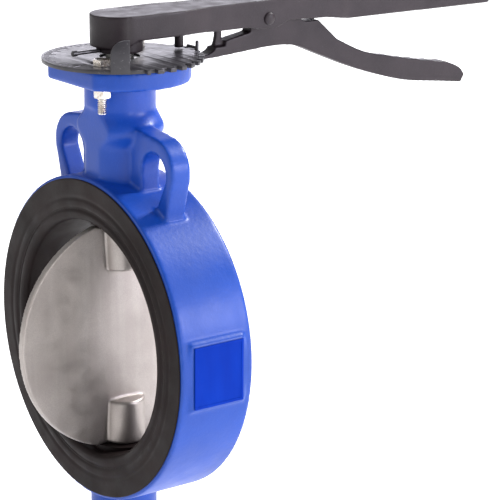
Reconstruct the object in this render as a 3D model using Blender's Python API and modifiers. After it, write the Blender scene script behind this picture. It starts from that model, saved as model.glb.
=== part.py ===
"""Lever-operated wafer butterfly valve, nominal bore 150 mm.

Frame: origin at the centre of the disc, +Y along the pipe, +Z up the stem.
The valve is modelled fully open: the disc lies in the YZ plane and the hand
lever points along +Y.  All lengths are in metres.
"""
import math

import bpy
import bmesh

MM = 0.001
GAP = 0.3 * MM                    # clearance between faces that touch or slide

# ---- body and flow path -------------------------------------------------
FACE_TO_FACE = 56 * MM            # over the rubber faces
RUBBER_LIP = 1 * MM               # rubber standing proud of the casting
DISC_RADIUS = 77.8 * MM
LINER_WEB = 8 * MM                # rubber between bore and casting
LINER_FACE_WIDTH = 27.3 * MM       # band of rubber round the bore
LINER_ROUNDING = 4 * MM           # rounded entry of the bore
RING_WALL = 21.1 * MM             # casting outside the rubber
BODY_EDGE = 1.5 * MM

# ---- neck, ears and feet of the casting ---------------------------------
NECK_RADIUS = 23 * MM
COLLAR_RADIUS = 28.5 * MM         # swelling where the ears meet the neck
COLLAR_RISE = 31.5 * MM           # middle of the swelling above the ring
COLLAR_HALF_HEIGHT = 12.5 * MM
NECK_FLAT_Y = 21.5 * MM           # flat on the front and the back of the lower neck
EAR_X = 47.5 * MM                 # centre of each centring ear
EAR_RISE = 11 * MM                # centre of the ear above the ring
EAR_RADIUS = 21 * MM
EAR_THICKNESS = 14.8 * MM
EYE_RADIUS = 13.3 * MM            # top of the oval eye
EYE_FOOT_RADIUS = 9 * MM          # bottom of the oval eye
EYE_FOOT_DROP = 18 * MM
EAR_FOOT_X = 62 * MM
EAR_SINK = 29.5 * MM              # root of the ear plate inside the ring
EAR_HEEL = 14 * MM                # upright stretch above the root
FOOT_RADIUS = 22 * MM
FOOT_LENGTH = 17.5 * MM           # lower boss below the ring

# ---- top flange and what is bolted to it --------------------------------
NECK_LENGTH = 61.5 * MM           # from the top of the ring to the flange
FLANGE_THICKNESS = 12 * MM
FLANGE_RADIUS = 46.3 * MM
FLANGE_FLAT_Y = 37.5 * MM
BOLT_CIRCLE = 70 * MM
BOLT_ANGLE = math.radians(-52)     # first hole of the pattern of four
BOLT_RADIUS = 3 * MM
BOLT_HEAD_AF = 10 * MM
BOLT_HEAD_HEIGHT = 4 * MM
BOLT_LENGTH = 31 * MM
NUT_HEIGHT = 5.2 * MM
PLATE_THICKNESS = 2.5 * MM
PLATE_RADIUS = 49.8 * MM
TOOTH_RADIUS = 54 * MM
NOTCH_STEP = math.radians(10)
NOTCH_COUNT = 12
NOTCH_FIRST = math.radians(-10)    # one notch before closed, one past open
NOTCH_WIDTH = 5 * MM
TAB_ANGLE = math.radians(-33)     # closed stop, bent up from the rim
TAB_WIDTH = 12 * MM
TAB_HEIGHT = 21 * MM
POST_ANGLE = math.radians(75)     # small post at the open end of the scale
POST_HEIGHT = 6.5 * MM

# ---- stem train ---------------------------------------------------------
STEM_RADIUS = 9 * MM
BUSHING_WALL = 3.4 * MM
SEAT_FLAT_DROP = 3.5 * MM         # flat round each stem hole, inside the disc's rim
SEAT_FLAT_RADIUS = 20 * MM
DISC_RIM = 5 * MM
DISC_CENTRE = 10 * MM
HUB_RADIUS = 14.4 * MM            # stem bosses on the disc
HUB_LENGTH = 33.8 * MM            # boss from the rim of the disc inwards
SOCKET_FLOOR = 4 * MM
SQUARE = 13 * MM                  # square drive under the lever

# ---- lever and trigger --------------------------------------------------
LEVER_DEPTH = 16 * MM             # side of the arm, from its top to its underside
GRIP_DEPTH = 19 * MM
HEEL_DEPTH = 20.5 * MM            # round end behind the stem
HUB_DEPTH = 24.5 * MM
LEVER_HUB_RADIUS = 19 * MM
HUB_CLEARANCE = 2.9 * MM          # between plate and hub
LEVER_BOSS_RADIUS = 15 * MM        # narrower foot of the hub, on the stem square
ARM_HALF_WIDTH = 15 * MM
GRIP_HALF_WIDTH = 14 * MM
ARM_START_Y = 60 * MM
GRIP_START_Y = 176 * MM
LEVER_REACH = 315 * MM
SLOT_START_Y = 60 * MM
SLOT_END_Y = 166 * MM
SLOT_ROOF = 4 * MM                # wall left above the slot
PIVOT_Y = 108 * MM
PIVOT_DROP = 12.3 * MM            # below the top of the lever
PIVOT_RADIUS = 3 * MM
PIVOT_HEAD_RADIUS = 4.2 * MM
TRIGGER_HALF_WIDTH = 5 * MM
FINGER_HALF_WIDTH = 1.8 * MM       # upright finger in front of the pivot
TRIGGER_SIDE_GAP = 1 * MM          # play between the trigger and each cheek
SPRING_Y = 152 * MM               # return spring between slot roof and trigger
SPRING_RADIUS = 4 * MM
SPRING_SEAT_DROP = 7.2 * MM       # spring seat below the pivot
SPRING_WIRE = 0.7 * MM            # radius of the wire
SPRING_TURNS = 4
SET_SCREW_RADIUS = 2.5 * MM
LUG_Y = 46 * MM                   # stop lug under the arm
LUG_RADIUS = 3 * MM

LABEL_WIDTH = 37 * MM
LABEL_HEIGHT = 40 * MM
LABEL_THICKNESS = 0.8 * MM

# ---- sizes that follow from the ones above ------------------------------
BODY_HALF_WIDTH = FACE_TO_FACE / 2 - RUBBER_LIP
LINER_BORE = DISC_RADIUS + GAP
BODY_BORE = LINER_BORE + LINER_WEB + GAP
BODY_RADIUS = BODY_BORE + RING_WALL
LINER_FACE_RADIUS = LINER_BORE + LINER_FACE_WIDTH
COLLAR_Z = BODY_RADIUS + COLLAR_RISE
EAR_Z = BODY_RADIUS + EAR_RISE
FOOT_Z = BODY_RADIUS + FOOT_LENGTH
FLANGE_UNDERSIDE_Z = BODY_RADIUS + NECK_LENGTH
SEAT_FLAT_Z = DISC_RADIUS - SEAT_FLAT_DROP
HUB_INNER_Z = DISC_RADIUS - HUB_LENGTH
STEM_SOCKET_Z = HUB_INNER_Z + SOCKET_FLOOR
STEM_HOLE = STEM_RADIUS + GAP
BUSHING_RADIUS = STEM_HOLE + BUSHING_WALL
NECK_BORE = BUSHING_RADIUS + GAP
FLANGE_TOP_Z = FLANGE_UNDERSIDE_Z + FLANGE_THICKNESS
PLATE_Z = FLANGE_TOP_Z + GAP
PLATE_TOP_Z = PLATE_Z + PLATE_THICKNESS
EAR_TOP_Z = EAR_Z + EAR_RADIUS
TOOTH_Y = TOOTH_RADIUS + GAP
LEVER_HUB_Z = PLATE_TOP_Z + GAP + HUB_CLEARANCE
LEVER_TOP_Z = LEVER_HUB_Z + HUB_DEPTH
LEVER_SIDE_Z = LEVER_TOP_Z - LEVER_DEPTH
LEVER_HEEL_Z = LEVER_TOP_Z - HEEL_DEPTH
GRIP_SIDE_Z = LEVER_TOP_Z - GRIP_DEPTH
SLOT_ROOF_Z = LEVER_TOP_Z - SLOT_ROOF
PIVOT_Z = LEVER_TOP_Z - PIVOT_DROP
SPRING_SEAT_Z = PIVOT_Z - SPRING_SEAT_DROP
SQUARE_Z = LEVER_HUB_Z - GAP
SQUARE_TOP_Z = LEVER_TOP_Z - 4 * MM
SET_SCREW_Z = (LEVER_HUB_Z + LEVER_TOP_Z) / 2
SLOT_HALF_WIDTH = TRIGGER_HALF_WIDTH + TRIGGER_SIDE_GAP

PART = bpy.data.collections.new("butterfly_valve")
CUTTERS = bpy.data.collections.new("cutters")


# ---- general helpers ----------------------------------------------------
def clear_scene():
    for item in list(bpy.data.objects):
        bpy.data.objects.remove(item, do_unlink=True)


def make_material(name, colour, roughness, metallic):
    material = bpy.data.materials.new(name)
    material.use_nodes = True
    shader = material.node_tree.nodes["Principled BSDF"]
    shader.inputs["Base Color"].default_value = (*colour, 1.0)
    shader.inputs["Roughness"].default_value = roughness
    shader.inputs["Metallic"].default_value = metallic
    material.diffuse_color = (*colour, 1.0)
    return material


def link(item, is_cutter):
    (CUTTERS if is_cutter else PART).objects.link(item)
    if is_cutter:
        item.hide_render = True
        item.display_type = "WIRE"
    return item


def turned(name, profile, steps=32, closed=False, is_cutter=False):
    """Turn a (radius, height) profile about local Z; it runs down its outer side."""
    mesh = bpy.data.meshes.new(name)
    points = [(radius, 0, height) for radius, height in profile]
    edges = [(i, i + 1) for i in range(len(points) - 1)]
    if closed:
        edges.append((len(points) - 1, 0))
    mesh.from_pydata(points, edges, [])
    item = link(bpy.data.objects.new(name, mesh), is_cutter)
    screw = item.modifiers.new("turn", "SCREW")
    screw.steps = steps
    screw.render_steps = steps
    screw.use_merge_vertices = True
    screw.merge_threshold = 0.00001
    screw.use_normal_calculate = False
    return item


def rod(name, radius, low, high, steps=24, is_cutter=False):
    return turned(name, [(0, high), (radius, high), (radius, low), (0, low)], steps, is_cutter=is_cutter)


def sleeve(name, inner, outer, low, high, steps=32):
    profile = [(inner, high), (outer, high), (outer, low), (inner, low)]
    return turned(name, profile, steps, closed=True)


def flat(name, outlines, low, high, is_cutter=False):
    """Fill outlines drawn in local XY and give them thickness from low to high along local Z."""
    curve = bpy.data.curves.new(name, "CURVE")
    curve.dimensions = "2D"
    curve.fill_mode = "BOTH"
    curve.extrude = (high - low) / 2
    curve.render_resolution_u = 0
    for outline in outlines:
        spline = curve.splines.new("POLY")
        spline.points.add(len(outline) - 1)
        for point, (x, y) in zip(spline.points, outline):
            point.co = (x, y, 0, 1)
        spline.use_cyclic_u = True
    guide = bpy.data.objects.new(name + "_outline", curve)
    PART.objects.link(guide)
    bpy.context.view_layer.update()
    graph = bpy.context.evaluated_depsgraph_get()
    mesh = bpy.data.meshes.new_from_object(guide.evaluated_get(graph))
    bpy.data.objects.remove(guide, do_unlink=True)
    shape = bmesh.new()
    shape.from_mesh(mesh)
    bmesh.ops.remove_doubles(shape, verts=shape.verts, dist=0.00001)
    bmesh.ops.translate(shape, verts=shape.verts, vec=(0, 0, (high + low) / 2))
    bmesh.ops.recalc_face_normals(shape, faces=shape.faces)
    shape.to_mesh(mesh)
    shape.free()
    mesh.name = name
    return link(bpy.data.objects.new(name, mesh), is_cutter)


def box(name, low, high, is_cutter=False):
    outline = [(low[0], low[1]), (high[0], low[1]), (high[0], high[1]), (low[0], high[1])]
    return flat(name, [outline], low[2], high[2], is_cutter)


def combine(item, other, operation):
    change = item.modifiers.new(other.name, "BOOLEAN")
    change.operation = operation
    change.solver = "EXACT"
    change.object = other
    if operation == "UNION":
        change.use_self = False


def cut(item, *cutters):
    for cutter in cutters:
        combine(item, cutter, "DIFFERENCE")


def add(item, *others):
    for other in others:
        combine(item, other, "UNION")


def across(item):
    """Turn local Z to +Y: for shapes made round the pipe axis."""
    item.rotation_euler = (-math.pi / 2, 0, 0)
    return item


def upright(item):
    """Stand a local XY outline in the XZ plane, with its thickness along -Y."""
    item.rotation_euler = (math.pi / 2, 0, 0)
    return item


def lengthwise(item):
    """Stand a local XY outline in the YZ plane, with its thickness along +X."""
    item.rotation_euler = (math.pi / 2, 0, math.pi / 2)
    return item


def arc(centre, radius, start, end, steps):
    """Points from one angle to the other, in degrees."""
    points = []
    for i in range(steps + 1):
        angle = math.radians(start + (end - start) * i / steps)
        points.append((centre[0] + radius * math.cos(angle), centre[1] + radius * math.sin(angle)))
    return points


def mirrored(outline):
    return [(-x, y) for x, y in reversed(outline)]


def hexagon(across_flats, centre=(0, 0)):
    return arc(centre, across_flats / math.sqrt(3), 0, 300, 5)


def finish(item, material, parent=None):
    item.data.materials.clear()
    item.data.materials.append(material)
    if parent is not None:
        placed = item.matrix_world.copy()
        item.parent = parent
        item.matrix_parent_inverse = parent.matrix_world.inverted()
        item.matrix_world = placed
    return item


def empty(name, location, parent=None):
    item = bpy.data.objects.new(name, None)
    item.location = location
    PART.objects.link(item)
    if parent is not None:
        item.parent = parent
        item.matrix_parent_inverse = parent.matrix_world.inverted()
    bpy.context.view_layer.update()
    return item


# ---- the casting --------------------------------------------------------
def ring():
    """Ring of the casting as a solid drum; its bore is cut once the pads are on."""
    half = BODY_HALF_WIDTH
    profile = [(0, half), (BODY_RADIUS - BODY_EDGE, half), (BODY_RADIUS, half - BODY_EDGE),
               (BODY_RADIUS, BODY_EDGE - half), (BODY_RADIUS - BODY_EDGE, -half), (0, -half)]
    return across(turned("valve_body", profile, 72))


def neck():
    """Neck and top flange stem, turned about the stem axis."""
    root = BODY_BORE + 2 * MM
    profile = [(0, FLANGE_UNDERSIDE_Z + MM), (NECK_RADIUS, FLANGE_UNDERSIDE_Z + MM)]
    for i in range(9):
        swell = math.pi * (i - 4) / 8
        radius = NECK_RADIUS + (COLLAR_RADIUS - NECK_RADIUS) * math.cos(swell) ** 2
        profile.append((radius, COLLAR_Z - COLLAR_HALF_HEIGHT * (i - 4) / 4))
    profile += [(NECK_RADIUS, root), (0, root)]
    item = turned("neck", profile, 32, is_cutter=True)
    wide = 2 * COLLAR_RADIUS
    top = COLLAR_Z + 1.1 * COLLAR_HALF_HEIGHT
    for side in (-1, 1):
        near, far = sorted((side * NECK_FLAT_Y, side * wide))
        cut(item, box("neck_flat_%d" % (side + 1), (-wide, near, 0), (wide, far, top), True))
    return item


def ear_plate():
    """Both centring ears as one upright plate, with an oval eye in each."""
    lip = 21 * MM
    foot = BODY_RADIUS - EAR_SINK
    right = [(EAR_FOOT_X, foot), (EAR_FOOT_X, foot + EAR_HEEL)]
    right += arc((EAR_X, EAR_Z), EAR_RADIUS, -25, 82, 11)
    right += [(NECK_RADIUS - 4 * MM, EAR_TOP_Z + 4 * MM)]
    outline = right + mirrored(right)
    item = upright(flat("ear_plate", [outline], -EAR_THICKNESS / 2, EAR_THICKNESS / 2, True))
    for side in (-1, 1):
        eye = arc((side * EAR_X, EAR_Z - 2 * MM), EYE_RADIUS, -10, 190, 14)
        eye += arc((side * (EAR_X - 5 * MM), EAR_Z - 2 * MM - EYE_FOOT_DROP), EYE_FOOT_RADIUS, 200, 340, 8)
        hole = flat("eye_%d" % (side + 1), [eye], -lip, lip, True)
        cut(item, upright(hole))
    return item


def flange_outline(grow=0.0):
    """Round flange with a flat at front and back and a short facet beside each flat."""
    radius = FLANGE_RADIUS + grow
    flat_y = FLANGE_FLAT_Y + grow
    corner = math.degrees(math.asin((flat_y - 9 * MM) / radius))
    right = arc((0, 0), radius, -corner, corner, 10)
    facet_x = radius * math.cos(math.radians(corner)) - 10 * MM
    right = [(facet_x, -flat_y)] + right + [(facet_x, flat_y)]
    return right + mirrored(right)


def bolt_places():
    """Centres of the pattern's four holes; the bolts are in the first and the third."""
    return arc((0, 0), BOLT_CIRCLE / 2, math.degrees(BOLT_ANGLE), math.degrees(BOLT_ANGLE) + 270, 3)


def top_flange():
    item = flat("top_flange", [flange_outline()], FLANGE_UNDERSIDE_Z, FLANGE_TOP_Z, True)
    for i, (x, y) in enumerate(bolt_places()):
        hole = rod("flange_hole_%d" % i, BOLT_RADIUS + 0.5 * MM, FLANGE_UNDERSIDE_Z - MM,
                   FLANGE_TOP_Z + MM, 16, True)
        hole.location = (x, y, 0)
        cut(item, hole)
    return item


def valve_body(material):
    body = ring()
    foot_profile = [(0, -BODY_BORE - 2 * MM), (FOOT_RADIUS, -BODY_BORE - 2 * MM),
                    (FOOT_RADIUS, MM - FOOT_Z), (FOOT_RADIUS - MM, -FOOT_Z), (0, -FOOT_Z)]
    foot = turned("foot", foot_profile, 32, is_cutter=True)
    bed = box("label_bed", (BODY_RADIUS - 6 * MM, -LABEL_WIDTH / 2 - 2 * MM, -LABEL_HEIGHT / 2 - 2 * MM),
              (BODY_RADIUS + 0.4 * MM, LABEL_WIDTH / 2 + 2 * MM, LABEL_HEIGHT / 2 + 2 * MM), True)
    add(body, ear_plate(), neck(), top_flange(), foot, bed)
    half = BODY_HALF_WIDTH + MM
    cut(body, rod("stem_bore", NECK_BORE, -FOOT_Z - MM, FLANGE_TOP_Z + MM, 24, True))
    cut(body, across(rod("flow_bore", BODY_BORE, -half, half, 72, True)))
    return finish(body, material)


# ---- lining and bushings ------------------------------------------------
def seat_liner(material):
    """Rubber sleeve with a bead over each face of the casting."""
    half = FACE_TO_FACE / 2
    shoulder = BODY_HALF_WIDTH + GAP
    back = BODY_BORE - GAP
    entry = arc((LINER_BORE + LINER_ROUNDING, half - LINER_ROUNDING), LINER_ROUNDING, 180, 90, 4)
    upper = entry + [(LINER_FACE_RADIUS, half), (LINER_FACE_RADIUS, shoulder), (back, shoulder)]
    lower = [(radius, -height) for radius, height in reversed(upper)]
    liner = across(turned("seat_liner", upper + lower, 72, closed=True))
    for side in (-1, 1):
        low, high = sorted((side * SEAT_FLAT_Z, side * (LINER_BORE + 3 * MM)))
        pad = rod("seat_pad_%d" % (side + 1), SEAT_FLAT_RADIUS, low, high, 28, True)
        add(liner, pad)
    cut(liner, rod("liner_stem_hole", STEM_HOLE, -BODY_BORE - MM, BODY_BORE + MM, 24, True))
    return finish(liner, material)


def bushings(sleeve_material, seal_material):
    top = FLANGE_TOP_Z - 2 * MM
    finish(sleeve("upper_bushing", STEM_HOLE, BUSHING_RADIUS, top - 28 * MM, top, 24), sleeve_material)
    low = BODY_BORE + 4 * MM
    finish(sleeve("middle_bushing", STEM_HOLE, BUSHING_RADIUS, low, low + 30 * MM, 24), sleeve_material)
    finish(sleeve("lower_bushing", STEM_HOLE, BUSHING_RADIUS, -low - 26 * MM, -low, 24), sleeve_material)
    for i in range(2):
        height = low + 34 * MM + i * 7 * MM
        ring = sleeve("stem_seal_%d" % (i + 1), STEM_HOLE, BUSHING_RADIUS, height, height + 3 * MM, 24)
        finish(ring, seal_material)


def bottom_closure(plug_material, gasket_material):
    """Gasket and hexagon plug that close the lower boss."""
    gasket = 1.5 * MM
    seat = -FOOT_Z - GAP
    finish(sleeve("bottom_gasket", NECK_BORE, FOOT_RADIUS - 4 * MM, seat - gasket, seat, 24), gasket_material)
    head_top = seat - gasket - GAP
    head_height = 8 * MM
    head = flat("bottom_plug", [hexagon(30 * MM)], head_top - head_height, head_top)
    spigot = rod("plug_spigot", NECK_BORE - GAP, head_top - MM, -FOOT_Z + 4 * MM, 24, True)
    add(head, spigot)
    finish(head, plug_material)


def identification_plate(material):
    """Blank label plate on the side of the ring."""
    face = BODY_RADIUS + 0.4 * MM + GAP
    finish(box("identification_plate", (face, -LABEL_WIDTH / 2, -LABEL_HEIGHT / 2),
               (face + LABEL_THICKNESS, LABEL_WIDTH / 2, LABEL_HEIGHT / 2)), material)


# ---- plate and fasteners on the top flange ------------------------------
def plate_outline():
    """Round plate with a larger, notched sector for the lever's positions."""
    half_notch = NOTCH_WIDTH / 2 / TOOTH_RADIUS
    start = NOTCH_FIRST - NOTCH_STEP / 2
    end = start + NOTCH_STEP * NOTCH_COUNT
    points = arc((0, 0), PLATE_RADIUS, math.degrees(end), math.degrees(start) + 360, 26)
    points += arc((0, 0), TOOTH_RADIUS, math.degrees(start), math.degrees(NOTCH_FIRST - half_notch), 1)
    for i in range(NOTCH_COUNT):
        angle = NOTCH_FIRST + i * NOTCH_STEP
        low = angle - half_notch
        high = angle + half_notch
        points += arc((0, 0), PLATE_RADIUS, math.degrees(low), math.degrees(high), 1)
        last = i == NOTCH_COUNT - 1
        following = end if last else angle + NOTCH_STEP - half_notch
        points += arc((0, 0), TOOTH_RADIUS, math.degrees(high), math.degrees(following), 1)
    return points


def notch_plate(material):
    hub_hole = arc((0, 0), STEM_RADIUS + 4 * MM, 0, 345, 23)
    plate = flat("notch_plate", [plate_outline(), hub_hole], PLATE_Z, PLATE_TOP_Z)
    round_corner = TAB_WIDTH * 0.8
    tab_outline = [(-TAB_WIDTH / 2, 0), (TAB_WIDTH / 2, 0), (TAB_WIDTH / 2, TAB_HEIGHT)]
    tab_outline += arc((round_corner - TAB_WIDTH / 2, TAB_HEIGHT - round_corner), round_corner, 90, 180, 6)
    tab = flat("stop_tab", [tab_outline], -PLATE_THICKNESS / 2, PLATE_THICKNESS / 2, True)
    tab.rotation_euler = (math.pi / 2, 0, TAB_ANGLE + math.pi / 2)
    reach = PLATE_RADIUS - 0.2 * MM
    tab.location = (reach * math.cos(TAB_ANGLE), reach * math.sin(TAB_ANGLE), PLATE_Z + 0.2 * MM)
    post_reach = TOOTH_RADIUS - 1.5 * MM
    post = box("post", (-MM, -MM, 0), (MM, MM, POST_HEIGHT + 1.5 * MM), True)
    post.location = (post_reach * math.cos(POST_ANGLE), post_reach * math.sin(POST_ANGLE),
                     PLATE_TOP_Z - 1.5 * MM)
    add(plate, tab, post)
    for i, (x, y) in enumerate(bolt_places()[::2]):
        hole = rod("plate_hole_%d" % i, BOLT_RADIUS + 0.5 * MM, PLATE_Z - MM, PLATE_TOP_Z + MM, 16, True)
        hole.location = (x, y, 0)
        cut(plate, hole)
    return finish(plate, material)


def plate_fasteners(material):
    """Two bolts through plate and flange, each with a nut."""
    seat = PLATE_TOP_Z + GAP
    for i, (x, y) in enumerate(bolt_places()[::2]):
        shank = rod("shank_%d" % i, BOLT_RADIUS, seat - BOLT_LENGTH, seat + MM, 16, True)
        bolt = flat("plate_bolt_%d" % (i + 1), [hexagon(BOLT_HEAD_AF)], seat, seat + BOLT_HEAD_HEIGHT)
        add(bolt, shank)
        bore = arc((0, 0), BOLT_RADIUS + GAP, 0, 337.5, 15)
        nut_top = FLANGE_UNDERSIDE_Z - GAP
        nut = flat("plate_nut_%d" % (i + 1), [hexagon(BOLT_HEAD_AF), bore], nut_top - NUT_HEIGHT, nut_top)
        for item in (shank, bolt, nut):
            item.location = (x, y, 0)
        bpy.context.view_layer.update()
        finish(bolt, material)
        finish(nut, material)


# ---- disc and stems, which turn together --------------------------------
def disc(material, pivot):
    """Lens-shaped disc with a boss for each stem; it stands in the YZ plane when open."""
    rim = DISC_RIM / 2
    half = DISC_CENTRE / 2
    edge = math.sqrt(DISC_RADIUS ** 2 - rim ** 2)
    profile = [(0, half), (0.45 * DISC_RADIUS, half * 0.92), (0.8 * DISC_RADIUS, half * 0.62),
               (edge, rim), (DISC_RADIUS, 0), (edge, -rim), (0.8 * DISC_RADIUS, -half * 0.62),
               (0.45 * DISC_RADIUS, -half * 0.92), (0, -half)]
    item = turned("disc", profile, 72)
    item.rotation_euler = (0, math.pi / 2, 0)
    for side in (-1, 1):
        chamfer = 1.2 * MM
        bottom = HUB_INNER_Z
        top = SEAT_FLAT_Z - GAP
        profile = [(0, top), (HUB_RADIUS - chamfer, top), (HUB_RADIUS, top - chamfer),
                   (HUB_RADIUS, bottom + chamfer), (HUB_RADIUS - chamfer, bottom), (0, bottom)]
        boss = turned("boss_%d" % (side + 1), profile, 28, is_cutter=True)
        socket = rod("socket_%d" % (side + 1), STEM_HOLE, STEM_SOCKET_Z, DISC_RADIUS + MM, 24, True)
        relief = rod("relief_%d" % (side + 1), SEAT_FLAT_RADIUS + 2 * GAP, top, DISC_RADIUS + MM, 28, True)
        for shape in (boss, socket, relief):
            if side < 0:
                shape.rotation_euler = (math.pi, 0, 0)
        add(item, boss)
        cut(item, relief, socket)
    bpy.context.view_layer.update()
    return finish(item, material, pivot)


def stems(material, pivot):
    low = STEM_SOCKET_Z + GAP
    top = SQUARE_TOP_Z
    upper = rod("upper_stem", STEM_RADIUS, low, SQUARE_Z, 24)
    half = SQUARE / 2
    square = box("stem_square", (-half, -half, SQUARE_Z - MM), (half, half, top), True)
    add(upper, square)
    finish(upper, material, pivot)
    finish(rod("lower_stem", STEM_RADIUS, -FOOT_Z + 5 * MM, -low, 24), material, pivot)
    height = 1.2 * MM
    seat = FLANGE_TOP_Z + GAP
    ring_gap = STEM_RADIUS + GAP
    finish(sleeve("stem_retaining_ring", ring_gap, STEM_RADIUS + 3.6 * MM, seat, seat + height, 24),
           material, pivot)


# ---- lever and what rides on it -----------------------------------------
def lever_plan():
    """Plan of the lever: round hub, tapered shoulder, arm and grip with a round end."""
    end = GRIP_HALF_WIDTH
    right = [(LEVER_HUB_RADIUS, 0), (LEVER_HUB_RADIUS, 38 * MM), (ARM_HALF_WIDTH, ARM_START_Y),
             (ARM_HALF_WIDTH, GRIP_START_Y - 6 * MM), (GRIP_HALF_WIDTH, GRIP_START_Y)]
    tip = arc((0, LEVER_REACH - end), end, 0, 180, 12)
    left = mirrored(right)
    hub = arc((0, 0), LEVER_HUB_RADIUS, 180, 360, 16)
    return right + tip + left + hub[1:-1]


def lever_side():
    """Side of the lever: level top, lugs at the trigger's pivot, a deeper heel and grip."""
    start = -LEVER_HUB_RADIUS - MM
    return [(start, LEVER_HEEL_Z), (-7 * MM, LEVER_HEEL_Z), (2 * MM, LEVER_SIDE_Z),
            (44 * MM, LEVER_SIDE_Z), (70 * MM, LEVER_SIDE_Z - 0.9 * MM),
            (PIVOT_Y - 16 * MM, LEVER_SIDE_Z - 0.9 * MM), (PIVOT_Y - 8 * MM, PIVOT_Z - 6.5 * MM),
            (PIVOT_Y + 8 * MM, PIVOT_Z - 6.5 * MM), (PIVOT_Y + 16 * MM, LEVER_SIDE_Z + MM),
            (GRIP_START_Y - 18 * MM, LEVER_SIDE_Z - 0.4 * MM),
            (GRIP_START_Y, GRIP_SIDE_Z), (LEVER_REACH - 12 * MM, GRIP_SIDE_Z - MM),
            (LEVER_REACH + MM, GRIP_SIDE_Z + 5 * MM), (LEVER_REACH + MM, LEVER_TOP_Z - 2 * MM),
            (LEVER_REACH - 8 * MM, LEVER_TOP_Z), (start, LEVER_TOP_Z)]


def lever(material, pivot):
    arm = flat("lever", [lever_plan()], GRIP_SIDE_Z - 5 * MM, LEVER_TOP_Z + MM)
    wide = 30 * MM
    side = lengthwise(flat("lever_side", [lever_side()], -wide, wide, True))
    combine(arm, side, "INTERSECT")
    hub = rod("lever_hub", LEVER_BOSS_RADIUS, LEVER_HUB_Z, LEVER_SIDE_Z + MM, 32, True)
    lug = rod("stop_lug", LUG_RADIUS, PLATE_TOP_Z + 0.7 * MM, LEVER_SIDE_Z + 3 * MM, 16, True)
    lug.location = (0, LUG_Y, 0)
    add(arm, hub, lug)
    hole = SQUARE / 2 + GAP
    socket = box("lever_socket", (-hole, -hole, LEVER_HUB_Z - MM), (hole, hole, SQUARE_TOP_Z + GAP), True)
    slot = box("trigger_slot", (-SLOT_HALF_WIDTH, SLOT_START_Y, GRIP_SIDE_Z - 5 * MM),
               (SLOT_HALF_WIDTH, SLOT_END_Y, SLOT_ROOF_Z), True)
    eye = rod("pivot_eye", PIVOT_RADIUS + GAP, -wide, wide, 16, True)
    eye.rotation_euler = (0, math.pi / 2, 0)
    eye.location = (0, PIVOT_Y, PIVOT_Z)
    thread = rod("set_screw_hole", SET_SCREW_RADIUS + GAP, -wide, 0, 16, True)
    thread.rotation_euler = (0, math.pi / 2, 0)
    thread.location = (0, 0, SET_SCREW_Z)
    cut(arm, socket, slot, eye, thread)
    return finish(arm, material, pivot)


def lever_set_screw(material, pivot):
    """Headless screw that clamps the square from the far side of the hub."""
    inner = -SQUARE / 2 - 2 * GAP
    outer = -LEVER_HUB_RADIUS + MM
    screw = rod("lever_set_screw", SET_SCREW_RADIUS, outer, inner, 16)
    socket = flat("set_screw_socket", [hexagon(2.5 * MM)], outer - MM, outer + 2.5 * MM, True)
    cut(screw, socket)
    for item in (screw, socket):
        item.rotation_euler = (0, math.pi / 2, 0)
        item.location = (0, 0, SET_SCREW_Z)
    bpy.context.view_layer.update()
    return finish(screw, material, pivot)


def position_pointer(material, pivot):
    """Thin rod that reads the scale, held in the lever's hub."""
    radius = 1.2 * MM
    root = LEVER_BOSS_RADIUS + GAP
    length = LEVER_HUB_RADIUS - LEVER_BOSS_RADIUS + 15 * MM
    pointer = rod("position_pointer", radius, 0, length, 12)
    knob = rod("pointer_knob", radius * 1.5, length - 2 * MM, length + MM, 12, True)
    place = (0, -root, LEVER_HUB_Z + radius + MM / 2)
    for item in (pointer, knob):
        item.rotation_euler = (math.pi / 2, 0, 0)
        item.location = place
    add(pointer, knob)
    bpy.context.view_layer.update()
    return finish(pointer, material, pivot)


def pivot_pin(material, pivot):
    """Headed pin through both cheeks, with a clip on the far side."""
    face = ARM_HALF_WIDTH + GAP
    head = 1.6 * MM
    clip = 1.2 * MM
    end = -face - clip - 2 * GAP - MM
    profile = [(0, face + head), (PIVOT_HEAD_RADIUS - 0.6 * MM, face + head), (PIVOT_HEAD_RADIUS, face + MM),
               (PIVOT_HEAD_RADIUS, face), (PIVOT_RADIUS, face), (PIVOT_RADIUS, end), (0, end)]
    pin = turned("trigger_pivot_pin", profile, 20)
    ring = sleeve("pivot_pin_clip", PIVOT_RADIUS + GAP, PIVOT_HEAD_RADIUS + MM, -face - clip, -face, 20)
    for item in (pin, ring):
        item.rotation_euler = (0, math.pi / 2, 0)
        item.location = (0, PIVOT_Y, PIVOT_Z)
    bpy.context.view_layer.update()
    finish(pin, material, pivot)
    finish(ring, material, pivot)


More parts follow.
